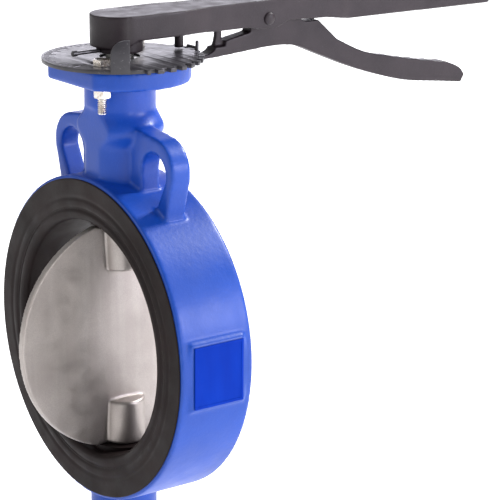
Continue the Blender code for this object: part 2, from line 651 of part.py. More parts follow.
def trigger_outline():
    """Side of the squeeze trigger: tooth and finger in front, curved handle behind.

    Points given as bare numbers are (mm behind the pivot, mm above it).
    """
    front = TOOTH_Y + 0.4 * MM
    lead = PIVOT_Y
    roof = SLOT_ROOF_Z - 3 * MM
    seat = SPRING_SEAT_Z
    half_seat = SPRING_RADIUS + 1.5 * MM
    lower = [(-38, -23.8), (-16, -22.4), (6, -21), (20, -21.2), (32, -23.2), (48, -29.8),
             (74, -40.6), (100, -49.8), (128, -57.4), (158, -61.6), (180, -64.6)]
    upper = [(183, -59.2), (178, -53.6), (166, -48.8), (142, -44.8), (112, -38.8), (88, -32.2), (66, -21.8)]
    points = [(front, PIVOT_Z - 24.2 * MM)]
    points += [(lead + y * MM, PIVOT_Z + z * MM) for y, z in lower + upper]
    points += [(SPRING_Y + half_seat, seat), (SPRING_Y - half_seat, seat)]
    points += [(lead + 24 * MM, roof - 4 * MM), (lead + 14 * MM, roof - MM), (lead, roof),
               (lead - 7 * MM, roof - 3 * MM), (lead - 7.5 * MM, PIVOT_Z - 5 * MM)]
    hook = [(-7.5, -9.8), (-21.9, -12.2), (-28.9, -13.8), (-28.9, 0.8), (-33.6, 0.8),
            (-33.8, -11.2), (-35, -15.7), (-37.5, -19.2), (-42, -21.2), (-49, -21.4)]
    points += [(lead + y * MM, PIVOT_Z + z * MM) for y, z in hook]
    tooth_top = PLATE_TOP_Z + MM
    return points + [(front + 3.3 * MM, tooth_top - MM), (front + 2 * MM, tooth_top), (front, tooth_top)]


def trigger(material, pivot):
    half = TRIGGER_HALF_WIDTH
    item = lengthwise(flat("trigger", [trigger_outline()], -half, half))
    eye = rod("trigger_eye", PIVOT_RADIUS + GAP, -2 * half, 2 * half, 16, True)
    eye.rotation_euler = (0, math.pi / 2, 0)
    eye.location = (0, PIVOT_Y, PIVOT_Z)
    cut(item, eye)
    for side in (-1, 1):
        near, far = sorted((side * FINGER_HALF_WIDTH, side * 2 * half))
        cut(item, box("finger_side_%d" % (side + 1), (near, PIVOT_Y - 42 * MM, PIVOT_Z - 17 * MM),
                      (far, PIVOT_Y - 28 * MM, PIVOT_Z + 2 * MM), True))
    bpy.context.view_layer.update()
    return finish(item, material, pivot)


def trigger_spring(material, pivot):
    """Compression spring that pushes the handle down, and so the tooth up to the plate."""
    low = SPRING_SEAT_Z + GAP + SPRING_WIRE
    high = SLOT_ROOF_Z - GAP - SPRING_WIRE
    per_turn = 10
    count = SPRING_TURNS * per_turn
    curve = bpy.data.curves.new("trigger_spring", "CURVE")
    curve.dimensions = "3D"
    curve.bevel_depth = SPRING_WIRE
    curve.bevel_resolution = 1
    curve.use_fill_caps = True
    curve.render_resolution_u = 0
    spline = curve.splines.new("POLY")
    spline.points.add(count)
    for i, point in enumerate(spline.points):
        angle = 2 * math.pi * i / per_turn
        point.co = (SPRING_RADIUS * math.cos(angle), SPRING_RADIUS * math.sin(angle),
                    low + (high - low) * i / count, 1)
    item = bpy.data.objects.new("trigger_spring", curve)
    item.location = (0, SPRING_Y, 0)
    PART.objects.link(item)
    bpy.context.view_layer.update()
    return finish(item, material, pivot)


def shade(items):
    for item in items:
        if item.type == "MESH":
            item.data.shade_smooth()
            item.data.set_sharp_from_angle(angle=math.radians(30))


def main():
    clear_scene()
    for collection in (PART, CUTTERS):
        bpy.context.scene.collection.children.link(collection)
    epoxy = make_material("blue_epoxy", (0.020, 0.092, 0.578), 0.35, 0.0)
    rubber = make_material("black_rubber", (0.022, 0.018, 0.018), 0.6, 0.0)
    stainless = make_material("blasted_stainless", (0.42, 0.40, 0.385), 0.45, 1.0)
    bright = make_material("turned_steel", (0.56, 0.55, 0.53), 0.3, 1.0)
    zinc = make_material("zinc_steel", (0.75, 0.73, 0.68), 0.3, 1.0)
    black_steel = make_material("black_plate", (0.035, 0.033, 0.042), 0.3, 0.4)
    casting = make_material("dark_casting", (0.085, 0.072, 0.085), 0.45, 0.1)
    plastic = make_material("bushing_polymer", (0.62, 0.60, 0.54), 0.5, 0.0)
    label = make_material("label_blue", (0.0, 0.045, 0.52), 0.5, 0.0)

    valve_body(epoxy)
    seat_liner(rubber)
    bushings(plastic, rubber)
    bottom_closure(zinc, rubber)
    identification_plate(label)
    notch_plate(black_steel)
    plate_fasteners(zinc)

    stem_pivot = empty("stem_pivot", (0, 0, 0))
    disc(stainless, stem_pivot)
    stems(bright, stem_pivot)
    lever(casting, stem_pivot)
    lever_set_screw(bright, stem_pivot)
    position_pointer(black_steel, stem_pivot)
    pivot_pin(casting, stem_pivot)
    trigger_spring(bright, stem_pivot)
    trigger_pivot = empty("trigger_pivot", (0, PIVOT_Y, PIVOT_Z), stem_pivot)
    trigger(casting, trigger_pivot)
    shade(PART.objects)


main()
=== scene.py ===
"""Looks of a lever-operated wafer butterfly valve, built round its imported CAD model.

Lengths are in metres in the CAD frame: origin at the centre of the disc, +Y along the
pipe, +Z up the stem.  The valve stands open, with its lever along +Y.
"""
import math

import bmesh
import bpy
from mathutils import Matrix, Vector


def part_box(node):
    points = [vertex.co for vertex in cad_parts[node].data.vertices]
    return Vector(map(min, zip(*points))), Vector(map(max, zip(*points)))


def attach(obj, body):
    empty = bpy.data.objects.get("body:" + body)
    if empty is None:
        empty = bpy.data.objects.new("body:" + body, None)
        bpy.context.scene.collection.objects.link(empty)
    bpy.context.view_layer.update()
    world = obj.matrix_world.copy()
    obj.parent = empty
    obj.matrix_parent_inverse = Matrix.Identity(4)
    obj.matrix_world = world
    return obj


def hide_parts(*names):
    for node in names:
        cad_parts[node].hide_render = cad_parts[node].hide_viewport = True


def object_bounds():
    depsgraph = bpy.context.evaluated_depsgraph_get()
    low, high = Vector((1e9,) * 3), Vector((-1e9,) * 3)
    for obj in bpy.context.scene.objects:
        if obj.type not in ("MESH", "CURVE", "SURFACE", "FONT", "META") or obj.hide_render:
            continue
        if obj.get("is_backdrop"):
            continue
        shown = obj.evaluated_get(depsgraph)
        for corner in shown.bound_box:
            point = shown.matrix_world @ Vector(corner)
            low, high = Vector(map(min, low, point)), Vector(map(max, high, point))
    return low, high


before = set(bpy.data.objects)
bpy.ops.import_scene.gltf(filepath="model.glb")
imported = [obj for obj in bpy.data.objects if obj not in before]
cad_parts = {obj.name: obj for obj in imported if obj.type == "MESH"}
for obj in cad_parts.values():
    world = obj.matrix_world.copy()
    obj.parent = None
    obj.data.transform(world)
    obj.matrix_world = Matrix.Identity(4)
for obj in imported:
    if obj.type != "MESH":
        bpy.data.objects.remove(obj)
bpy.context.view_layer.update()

MM = 0.001
GAP = 0.3 * MM

# ---- sizes read from the frame -------------------------------------------
LINER_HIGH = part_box("seat_liner")[1]
FACE_Y = LINER_HIGH.y                         # rubber face
LINER_RADIUS = LINER_HIGH.x
DISC_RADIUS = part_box("disc")[1].y
BODY_LOW, BODY_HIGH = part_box("valve_body")
FLANGE_TOP_Z = BODY_HIGH.z
FOOT_Z = -BODY_LOW.z
PLATE_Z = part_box("notch_plate")[0].z
LEVER_LOW, LEVER_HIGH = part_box("lever")
LEVER_TOP_Z = LEVER_HIGH.z
LEVER_REACH = LEVER_HIGH.y
HUB_RADIUS = -LEVER_LOW.y
TRIGGER_LOW, TRIGGER_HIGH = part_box("trigger")

# ---- driving sizes shared with the CAD model -----------------------------
BODY_HALF_WIDTH = 27 * MM
BODY_RADIUS = 107.5 * MM
BODY_BORE = 86.4 * MM
LINER_BORE = DISC_RADIUS + GAP
STEM_RADIUS = 9 * MM
NECK_RADIUS = 23 * MM
NECK_BORE = 13 * MM
COLLAR_RADIUS = 28.5 * MM
COLLAR_Z = 139 * MM
COLLAR_HALF_HEIGHT = 12.5 * MM
NECK_FLAT_Y = 21.5 * MM
EAR_X = 47.5 * MM
EAR_Z = 118.5 * MM
EAR_RADIUS = 21 * MM
EAR_THICKNESS = 14.8 * MM
EYE_RADIUS = 13.3 * MM
EYE_FOOT_RADIUS = 9 * MM
EYE_FOOT_DROP = 18 * MM
EAR_FOOT_X = 62 * MM
FOOT_RADIUS = 22 * MM
FLANGE_UNDERSIDE_Z = 169 * MM
FLANGE_RADIUS = 46.3 * MM
FLANGE_FLAT_Y = 37.5 * MM
BOLT_CIRCLE = 70 * MM
BOLT_ANGLE = -52                              # degrees to the first of four holes
BOLT_RADIUS = 3 * MM
BOLT_HOLE_RADIUS = BOLT_RADIUS + 0.5 * MM
BOLT_HEAD_AF = 10 * MM
PLATE_THICKNESS = 2.5 * MM
PLATE_TOP_Z = PLATE_Z + PLATE_THICKNESS
PLATE_RADIUS = 49.8 * MM
TOOTH_RADIUS = 54 * MM
PIVOT_Y = 108 * MM
PIVOT_Z = 199.2 * MM
PIN_RADIUS = 3 * MM


# ---- helpers for shapes --------------------------------------------------
def make(name, mesh):
    item = bpy.data.objects.new(name, mesh)
    bpy.context.scene.collection.objects.link(item)
    return item


def discard(item):
    mesh = item.data
    bpy.data.objects.remove(item, do_unlink=True)
    bpy.data.meshes.remove(mesh)


def settle(item):
    """Replace an object's mesh by its evaluated one, so that no modifier is left."""
    bpy.context.view_layer.update()
    graph = bpy.context.evaluated_depsgraph_get()
    mesh = bpy.data.meshes.new_from_object(item.evaluated_get(graph))
    old = item.data
    item.modifiers.clear()
    item.data = mesh
    bpy.data.meshes.remove(old)
    mesh.name = item.name
    return item


def from_bmesh(name, shape):
    bmesh.ops.recalc_face_normals(shape, faces=shape.faces)
    mesh = bpy.data.meshes.new(name)
    shape.to_mesh(mesh)
    shape.free()
    return make(name, mesh)


def turned(name, profile, steps=96, closed=False):
    """Turn a (radius, height) profile about Z."""
    shape = bmesh.new()
    corners = [shape.verts.new((radius, 0, height)) for radius, height in profile]
    edges = [shape.edges.new(pair) for pair in zip(corners, corners[1:])]
    if closed:
        edges.append(shape.edges.new((corners[-1], corners[0])))
    bmesh.ops.spin(shape, geom=corners + edges, cent=(0, 0, 0), axis=(0, 0, 1),
                   angle=2 * math.pi, steps=steps, use_duplicate=False)
    bmesh.ops.remove_doubles(shape, verts=shape.verts, dist=0.000005)
    return from_bmesh(name, shape)


def extruded(name, outlines, low, high):
    """Fill outlines drawn in XY, holes included, and give them thickness along Z."""
    curve = bpy.data.curves.new(name, "CURVE")
    curve.dimensions = "2D"
    curve.fill_mode = "BOTH"
    curve.extrude = (high - low) / 2
    for outline in outlines:
        spline = curve.splines.new("POLY")
        spline.points.add(len(outline) - 1)
        for point, (x, y) in zip(spline.points, outline):
            point.co = (x, y, 0, 1)
        spline.use_cyclic_u = True
    guide = make(name + "_outline", curve)
    bpy.context.view_layer.update()
    graph = bpy.context.evaluated_depsgraph_get()
    mesh = bpy.data.meshes.new_from_object(guide.evaluated_get(graph))
    bpy.data.objects.remove(guide, do_unlink=True)
    bpy.data.curves.remove(curve)
    shape = bmesh.new()
    shape.from_mesh(mesh)
    bpy.data.meshes.remove(mesh)
    bmesh.ops.remove_doubles(shape, verts=shape.verts, dist=0.000005)
    bmesh.ops.translate(shape, verts=shape.verts, vec=(0, 0, (high + low) / 2))
    return from_bmesh(name, shape)


def rod(name, radius, low, high, steps=64):
    return turned(name, [(0, low), (radius, low), (radius, high), (0, high)], steps)


def box(name, low, high):
    outline = [(low[0], low[1]), (high[0], low[1]), (high[0], high[1]), (low[0], high[1])]
    return extruded(name, [outline], low[2], high[2])


def moved(item, matrix):
    item.data.transform(matrix)
    return item


def shifted(item, x, y, z):
    return moved(item, Matrix.Translation((x, y, z)))


def across(item):
    """Turn local Z to +Y, for shapes made round the pipe axis."""
    return moved(item, Matrix.Rotation(-math.pi / 2, 4, "X"))


def sideways(item):
    """Turn local Z to +X."""
    return moved(item, Matrix.Rotation(math.pi / 2, 4, "Y"))


def upright(item):
    """Stand an outline drawn in XY up in the XZ plane."""
    return moved(item, Matrix.Rotation(math.pi / 2, 4, "X"))


def lengthwise(item):
    """Stand an outline drawn in XY up in the YZ plane."""
    return moved(item, Matrix.Rotation(math.pi / 2, 4, "Z") @ Matrix.Rotation(math.pi / 2, 4, "X"))


def combine(item, others, operation):
    for other in others:
        change = item.modifiers.new("combine", "BOOLEAN")
        change.operation = operation
        change.solver = "EXACT"
        change.object = other
        settle(item)
        discard(other)
    return item


def add(item, *others):
    return combine(item, others, "UNION")


def cut(item, *others):
    return combine(item, others, "DIFFERENCE")


def cast(item, voxel, rounds):
    """Give a sharp solid the rounded edges and fillets of a casting."""
    skin = item.modifiers.new("skin", "REMESH")
    skin.mode = "VOXEL"
    skin.voxel_size = voxel
    skin.use_smooth_shade = True
    soften = item.modifiers.new("soften", "SMOOTH")
    soften.factor = 0.5
    soften.iterations = rounds
    settle(item)
    item.data.shade_smooth()
    return item


def bevelled(item, width, segments=2, angle=30):
    """Round the edges of a machined or stamped piece."""
    edge = item.modifiers.new("edge", "BEVEL")
    edge.width = width
    edge.segments = segments
    edge.limit_method = "ANGLE"
    edge.angle_limit = math.radians(angle)
    edge.use_clamp_overlap = True
    edge.harden_normals = False
    settle(item)
    return smooth(item, 40)


def smooth(item, angle=30):
    item.data.shade_smooth()
    item.data.set_sharp_from_angle(angle=math.radians(angle))
    return item


def arc(centre, radius, start, end, steps):
    """Points from one angle to the other, in degrees."""
    points = []
    for i in range(steps + 1):
        angle = math.radians(start + (end - start) * i / steps)
        points.append((centre[0] + radius * math.cos(angle), centre[1] + radius * math.sin(angle)))
    return points


def mirrored(outline):
    return [(-x, y) for x, y in reversed(outline)]


def flowing(points, steps):
    """Smooth curve through points, by Catmull-Rom."""
    ends = [points[0]] + points + [points[-1]]
    result = []
    for a, b, c, d in zip(ends, ends[1:], ends[2:], ends[3:]):
        for i in range(steps):
            t = i / steps
            result.append(tuple(0.5 * (2 * q + (r - p) * t + (2 * p - 5 * q + 4 * r - s) * t * t
                                       + (3 * q - p - 3 * r + s) * t ** 3)
                                for p, q, r, s in zip(a, b, c, d)))
    return result + [points[-1]]


def polar(radius, angle):
    return radius * math.cos(angle), radius * math.sin(angle)


def publish(item, body, material, slot, *nodes):
    """Give a finished piece its material and its place in the frame."""
    item.data.materials.clear()
    item.data.materials.append(material)
    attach(item, body)
    if nodes:
        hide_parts(*nodes)
    return item


# ---- helpers for materials -----------------------------------------------
class Surface:
    """A Principled material whose colour, roughness and bump come from nodes."""

    def __init__(self, name):
        self.material = bpy.data.materials.new(name)
        self.material.use_nodes = True
        self.tree = self.material.node_tree
        self.shader = self.tree.nodes["Principled BSDF"]
        self.place = self.node("ShaderNodeTexCoord").outputs["Object"]
        self.normal = None

    def node(self, kind, **settings):
        made = self.tree.nodes.new(kind)
        for key, value in settings.items():
            setattr(made, key, value)
        return made

    def link(self, source, target):
        self.tree.links.new(source, target)

    def set(self, **values):
        for key, value in values.items():
            self.shader.inputs[key.replace("_", " ")].default_value = value
        return self

    def stretched(self, x, y, z):
        mapping = self.node("ShaderNodeMapping")
        mapping.inputs["Scale"].default_value = (x, y, z)
        self.link(self.place, mapping.inputs["Vector"])
        return mapping.outputs["Vector"]

    def noise(self, scale, detail=3.0, place=None, roughness=0.5):
        made = self.node("ShaderNodeTexNoise")
        made.inputs["Scale"].default_value = scale
        made.inputs["Detail"].default_value = detail
        made.inputs["Roughness"].default_value = roughness
        self.link(place or self.place, made.inputs["Vector"])
        return made.outputs["Fac"]

    def ranged(self, source, low, high, out_low, out_high):
        made = self.node("ShaderNodeMapRange")
        for key, value in (("From Min", low), ("From Max", high), ("To Min", out_low), ("To Max", out_high)):
            made.inputs[key].default_value = value
        self.link(source, made.inputs["Value"])
        return made.outputs["Result"]

    def mixed(self, factor, first, second):
        made = self.node("ShaderNodeMix", data_type="RGBA")
        self.link(factor, made.inputs["Factor"])
        for socket, value in ((made.inputs["A"], first), (made.inputs["B"], second)):
            if isinstance(value, tuple):
                socket.default_value = (*value, 1.0)
            else:
                self.link(value, socket)
        return made.outputs["Result"]

    def edges(self, low, high):
        """1 on outside edges, 0 elsewhere."""
        made = self.node("ShaderNodeNewGeometry")
        return self.ranged(made.outputs["Pointiness"], low, high, 0.0, 1.0)

    def product(self, first, second):
        made = self.node("ShaderNodeMath", operation="MULTIPLY")
        self.link(first, made.inputs[0])
        self.link(second, made.inputs[1])
        return made.outputs["Value"]

    def bump(self, height, distance, strength=1.0):
        made = self.node("ShaderNodeBump")
        made.inputs["Distance"].default_value = distance
        made.inputs["Strength"].default_value = strength
        self.link(height, made.inputs["Height"])
        if self.normal is not None:
            self.link(self.normal, made.inputs["Normal"])
        self.normal = made.outputs["Normal"]
        return self

    def done(self, colour=None, roughness=None):
        if colour is not None:
            self.link(colour, self.shader.inputs["Base Color"])
        if roughness is not None:
            self.link(roughness, self.shader.inputs["Roughness"])
        if self.normal is not None:
            self.link(self.normal, self.shader.inputs["Normal"])
        return self.material


def blue_epoxy():
    """Glossy epoxy coat over a cast surface: orange peel, cloudy tone and thin edges."""
    s = Surface("blue_epoxy_coat").set(Metallic=0.0, Specular_IOR_Level=0.36)
    s.set(Coat_Weight=0.08, Coat_Roughness=0.2)
    cloud = s.ranged(s.noise(22, 4), 0.3, 0.7, 0.0, 1.0)
    colour = s.mixed(cloud, (0.002, 0.050, 0.34), (0.005, 0.064, 0.42))
    speck = s.ranged(s.noise(1500, 2), 0.62, 0.72, 0.0, 0.35)
    colour = s.mixed(speck, colour, (0.02, 0.11, 0.58))
    worn = s.product(s.edges(0.53, 0.60), s.ranged(s.noise(160, 4), 0.45, 0.65, 0.0, 0.55))
    colour = s.mixed(worn, colour, (0.08, 0.18, 0.66))
    s.bump(s.noise(330, 2), 0.00012, 0.8).bump(s.noise(1100, 3), 0.00004, 0.6)
    return s.done(colour, s.ranged(s.noise(60, 4), 0.3, 0.7, 0.36, 0.48))


def black_rubber():
    """Moulded rubber with a faint brown bloom and mould texture."""
    s = Surface("moulded_rubber").set(Metallic=0.0, Specular_IOR_Level=0.15)
    bloom = s.ranged(s.noise(35, 5), 0.35, 0.75, 0.0, 1.0)
    colour = s.mixed(bloom, (0.008, 0.0045, 0.0045), (0.020, 0.012, 0.012))
    dust = s.ranged(s.noise(900, 3), 0.62, 0.8, 0.0, 0.4)
    colour = s.mixed(dust, colour, (0.04, 0.033, 0.033))
    s.bump(s.noise(700, 4), 0.00006, 0.7)
    return s.done(colour, s.ranged(s.noise(70, 4), 0.3, 0.7, 0.42, 0.62))


def blasted_stainless():
    """Bead-blasted cast stainless steel: fine grain, cloudy tone, faint upright streaks."""
    s = Surface("bead_blasted_stainless").set(Metallic=0.9)
    cloud = s.ranged(s.noise(28, 5), 0.3, 0.7, 0.0, 1.0)
    colour = s.mixed(cloud, (0.37, 0.33, 0.31), (0.49, 0.445, 0.42))
    streak = s.ranged(s.noise(120, 4, s.stretched(1.0, 1.0, 0.06)), 0.45, 0.75, 0.0, 0.5)
    colour = s.mixed(streak, colour, (0.56, 0.525, 0.50))
    grain = s.ranged(s.noise(1600, 3), 0.35, 0.65, 0.0, 0.5)
    colour = s.mixed(grain, colour, (0.33, 0.30, 0.285))
    s.bump(s.noise(1400, 3), 0.00007, 0.8).bump(s.noise(220, 3), 0.00008, 0.5)
    return s.done(colour, s.ranged(s.noise(90, 4), 0.3, 0.7, 0.38, 0.54))


def turned_steel():
    """Turned steel with fine tool marks round the piece."""
    s = Surface("turned_steel_bar").set(Metallic=1.0)
    tone = s.ranged(s.noise(60, 4), 0.3, 0.7, 0.0, 1.0)
    colour = s.mixed(tone, (0.50, 0.49, 0.47), (0.62, 0.61, 0.60))
    marks = s.noise(300, 3, s.stretched(1.0, 1.0, 12.0))
    s.bump(marks, 0.00003, 0.6)
    return s.done(colour, s.ranged(marks, 0.3, 0.7, 0.22, 0.38))


def zinc_plate():
    """Bright zinc plating with a faint yellow passivation."""
    s = Surface("zinc_plating").set(Metallic=1.0)
    tint = s.ranged(s.noise(180, 4), 0.35, 0.7, 0.0, 1.0)
    colour = s.mixed(tint, (0.84, 0.82, 0.79), (0.70, 0.61, 0.52))
    stain = s.ranged(s.noise(500, 5), 0.5, 0.7, 0.0, 0.75)
    colour = s.mixed(stain, colour, (0.42, 0.33, 0.24))
    s.bump(s.noise(900, 3), 0.00003, 0.6)
    return s.done(colour, s.ranged(s.noise(250, 4), 0.3, 0.7, 0.18, 0.34))


def black_plate():
    """Glossy black coat on stamped steel, with bare metal showing on worn edges."""
    s = Surface("black_plate_coat").set(Metallic=0.1, Coat_Weight=0.15, Coat_Roughness=0.2)
    tone = s.ranged(s.noise(70, 5), 0.3, 0.7, 0.0, 1.0)
    colour = s.mixed(tone, (0.020, 0.019, 0.024), (0.040, 0.037, 0.045))
    scuff = s.ranged(s.noise(700, 5, s.stretched(1.0, 0.35, 1.0)), 0.63, 0.74, 0.0, 0.5)
    colour = s.mixed(scuff, colour, (0.20, 0.19, 0.20))
    s.bump(s.noise(420, 3), 0.00005, 0.6)
    return s.done(colour, s.ranged(s.noise(130, 5), 0.3, 0.7, 0.30, 0.46))


def scale_paint():
    """Pale paint of the scale marks, thin and slightly rubbed."""
    s = Surface("scale_paint").set(Metallic=0.0)
    rubbed = s.ranged(s.noise(900, 4), 0.4, 0.62, 0.0, 0.8)
    colour = s.mixed(rubbed, (0.42, 0.40, 0.48), (0.12, 0.11, 0.14))
    s.bump(s.noise(1200, 2), 0.00003, 0.5)
    return s.done(colour, s.ranged(s.noise(400, 3), 0.3, 0.7, 0.45, 0.65))


def dark_casting():
    """Dark satin coat over cast iron: fine pits, dusty tone and rubbed edges."""
    s = Surface("dark_casting_coat").set(Metallic=0.0, Specular_IOR_Level=0.3)
    tone = s.ranged(s.noise(45, 5), 0.3, 0.7, 0.0, 1.0)
    colour = s.mixed(tone, (0.020, 0.014, 0.018), (0.032, 0.023, 0.028))
    dust = s.ranged(s.noise(1300, 3), 0.6, 0.75, 0.0, 0.35)
    colour = s.mixed(dust, colour, (0.06, 0.05, 0.06))
    worn = s.product(s.edges(0.53, 0.62), s.ranged(s.noise(220, 4), 0.42, 0.62, 0.0, 0.7))
    colour = s.mixed(worn, colour, (0.10, 0.088, 0.10))
    s.bump(s.noise(480, 4), 0.00010, 0.7).bump(s.noise(1500, 3), 0.00005, 0.6)
    return s.done(colour, s.ranged(s.noise(110, 4), 0.3, 0.7, 0.34, 0.50))


def bushing_polymer():
    """Pale bearing polymer with a fine mottle."""
    s = Surface("bearing_polymer").set(Metallic=0.0)
    mottle = s.ranged(s.noise(260, 4), 0.35, 0.65, 0.0, 1.0)
    colour = s.mixed(mottle, (0.58, 0.56, 0.50), (0.68, 0.66, 0.60))
    s.bump(s.noise(800, 3), 0.00003, 0.5)
    return s.done(colour, s.ranged(s.noise(150, 3), 0.3, 0.7, 0.42, 0.58))


def label_blue():
    """Matt blue paint over the blank label plate, brushed on."""
    s = Surface("label_paint").set(Metallic=0.0, Specular_IOR_Level=0.06)
    stroke = s.ranged(s.noise(90, 4, s.stretched(1.0, 1.0, 0.25)), 0.35, 0.7, 0.0, 1.0)
    colour = s.mixed(stroke, (0.0, 0.026, 0.33), (0.001, 0.036, 0.40))
    s.bump(s.noise(380, 4, s.stretched(1.0, 1.0, 0.3)), 0.00008, 0.6)
    return s.done(colour, s.ranged(s.noise(120, 4), 0.3, 0.7, 0.48, 0.64))


def pale_floor():
    s = Surface("pale_floor").set(Metallic=0.0, Specular_IOR_Level=0.2)
    colour = s.mixed(s.ranged(s.noise(3, 3), 0.3, 0.7, 0.0, 1.0), (0.90, 0.90, 0.90), (0.93, 0.93, 0.93))
    s.set(Emission_Color=(1.0, 1.0, 1.0, 1.0), Emission_Strength=0.66)
    return s.done(colour, s.ranged(s.noise(5, 2), 0.3, 0.7, 0.6, 0.75))


# ---- the blue casting ----------------------------------------------------
def ear_plate():
    """Both centring ears as one upright plate with an oval eye in each."""
    half = EAR_THICKNESS / 2
    right = [(EAR_FOOT_X, 78 * MM), (EAR_FOOT_X, 92 * MM)]
    right += arc((EAR_X, EAR_Z), EAR_RADIUS, -25, 82, 24)
    right += [(NECK_RADIUS - 4 * MM, EAR_Z + EAR_RADIUS + 4 * MM)]
    item = upright(extruded("ear_plate", [right + mirrored(right)], -half, half))
    for side in (-1, 1):
        eye = arc((side * EAR_X, EAR_Z - 2 * MM), EYE_RADIUS, -10, 190, 32)
        eye += arc((side * (EAR_X - 5 * MM), EAR_Z - 2 * MM - EYE_FOOT_DROP), EYE_FOOT_RADIUS, 200, 340, 18)
        cut(item, upright(extruded("eye", [eye], -3 * half, 3 * half)))
    return item


def neck():
    """Round neck with its swelling collar and the flats below it."""
    top = FLANGE_UNDERSIDE_Z + MM
    profile = [(0, top), (NECK_RADIUS, top)]
    for i in range(25):
        share = (i - 12) / 12
        swell = (COLLAR_RADIUS - NECK_RADIUS) * math.cos(math.pi * share / 2) ** 2
        profile.append((NECK_RADIUS + swell, COLLAR_Z - COLLAR_HALF_HEIGHT * share))
    root = BODY_BORE + 2 * MM
    profile += [(NECK_RADIUS, root), (0, root)]
    item = turned("neck", profile, 96)
    wide = 2 * COLLAR_RADIUS
    flat_top = COLLAR_Z + 1.1 * COLLAR_HALF_HEIGHT
    for side in (-1, 1):
        near, far = sorted((side * NECK_FLAT_Y, side * wide))
        cut(item, box("neck_flat", (-wide, near, 0), (wide, far, flat_top)))
    return item


def flange_outline():
    corner = math.degrees(math.asin((FLANGE_FLAT_Y - 9 * MM) / FLANGE_RADIUS))
    right = arc((0, 0), FLANGE_RADIUS, -corner, corner, 40)
    facet_x = FLANGE_RADIUS * math.cos(math.radians(corner)) - 10 * MM
    right = [(facet_x, -FLANGE_FLAT_Y)] + right + [(facet_x, FLANGE_FLAT_Y)]
    return right + mirrored(right)


def bolt_places():
    """Centres of the four holes; the bolts are in the first and the third."""
    return arc((0, 0), BOLT_CIRCLE / 2, BOLT_ANGLE, BOLT_ANGLE + 270, 3)


def top_flange():
    item = extruded("top_flange", [flange_outline()], FLANGE_UNDERSIDE_Z, FLANGE_TOP_Z)
    for x, y in bolt_places():
        hole = rod("flange_hole", BOLT_HOLE_RADIUS, FLANGE_UNDERSIDE_Z - MM, FLANGE_TOP_Z + MM, 32)
        cut(item, shifted(hole, x, y, 0))
    return item


def valve_body(material):
    edge = 1.2 * MM
    half = BODY_HALF_WIDTH
    corner = arc((BODY_RADIUS - edge, half - edge), edge, 90, 0, 4)
    profile = [(0, half)] + corner + [(r, -y) for r, y in reversed(corner)] + [(0, -half)]
    body = across(turned("valve_body_casting", profile, 240))
    root = -BODY_BORE - 2 * MM
    foot = turned("foot", [(0, root), (FOOT_RADIUS, root), (FOOT_RADIUS, MM - FOOT_Z),
                           (FOOT_RADIUS - MM, -FOOT_Z), (0, -FOOT_Z)], 96)
    low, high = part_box("identification_plate")
    border = 2 * MM
    bed = box("label_bed", (BODY_RADIUS - 6 * MM, low.y - border, low.z - border),
              (low.x - GAP, high.y + border, high.z + border))
    add(body, ear_plate(), neck(), top_flange(), foot, bed)
    cut(body, rod("stem_bore", NECK_BORE, -FOOT_Z - MM, FLANGE_TOP_Z + MM))
    cut(body, across(rod("flow_bore", BODY_BORE, -half - MM, half + MM, 240)))
    cast(body, 1.32 * MM, 4)
    return publish(body, "body", material, "blue_epoxy", "valve_body")


def identification_plate(material):
    """Blank label plate with a raised border."""
    low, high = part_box("identification_plate")
    face = high.x - 0.25 * MM
    plate = box("label_plate", (low.x, low.y, low.z), (face, high.y, high.z))
    rim = 1.6 * MM
    frame_outer = [(low.y, low.z), (high.y, low.z), (high.y, high.z), (low.y, high.z)]
    frame_inner = [(low.y + rim, low.z + rim), (high.y - rim, low.z + rim),
                   (high.y - rim, high.z - rim), (low.y + rim, high.z - rim)]
    border = lengthwise(extruded("label_border", [frame_outer, frame_inner], face - 0.1 * MM, high.x))
    add(plate, border)
    bevelled(plate, 0.12 * MM)
    return publish(plate, "body", material, "label_blue", "identification_plate")


# ---- rubber liner --------------------------------------------------------
def liner_face(radius):
    """Height of the rubber face: flat, with two moulded grooves."""
    height = FACE_Y
    for groove, depth, width in ((93 * MM, 0.5 * MM, 1.5 * MM), (86 * MM, 0.9 * MM, 1.7 * MM)):
        height -= depth * math.exp(-((radius - groove) / width) ** 2)
    return height


def seat_liner(material):
    rounding = 4 * MM
    back = BODY_BORE - GAP
    shoulder = BODY_HALF_WIDTH + GAP
    upper = arc((LINER_BORE + rounding, FACE_Y - rounding - 0.2 * MM), rounding, 180, 100, 10)
    start, end = LINER_BORE + rounding + MM, LINER_RADIUS - 0.6 * MM
    steps = 44
    for i in range(steps + 1):
        radius = start + (end - start) * i / steps
        upper.append((radius, liner_face(radius)))
    upper += [(LINER_RADIUS - 0.2 * MM, FACE_Y - 0.15 * MM), (LINER_RADIUS, FACE_Y - 0.4 * MM),
              (LINER_RADIUS, shoulder), (back, shoulder)]
    lower = [(radius, -height) for radius, height in reversed(upper)]
    liner = across(turned("seat_liner_rubber", upper + lower, 240, closed=True))
    flat_z = 74.3 * MM
    for side in (-1, 1):
        low, high = sorted((side * flat_z, side * (LINER_BORE + 3 * MM)))
        add(liner, rod("seat_pad", 20 * MM, low, high, 96))
    cut(liner, rod("liner_stem_hole", STEM_RADIUS + GAP, -BODY_BORE - MM, BODY_BORE + MM, 64))
    smooth(liner, 35)
    return publish(liner, "body", material, "black_rubber", "seat_liner")


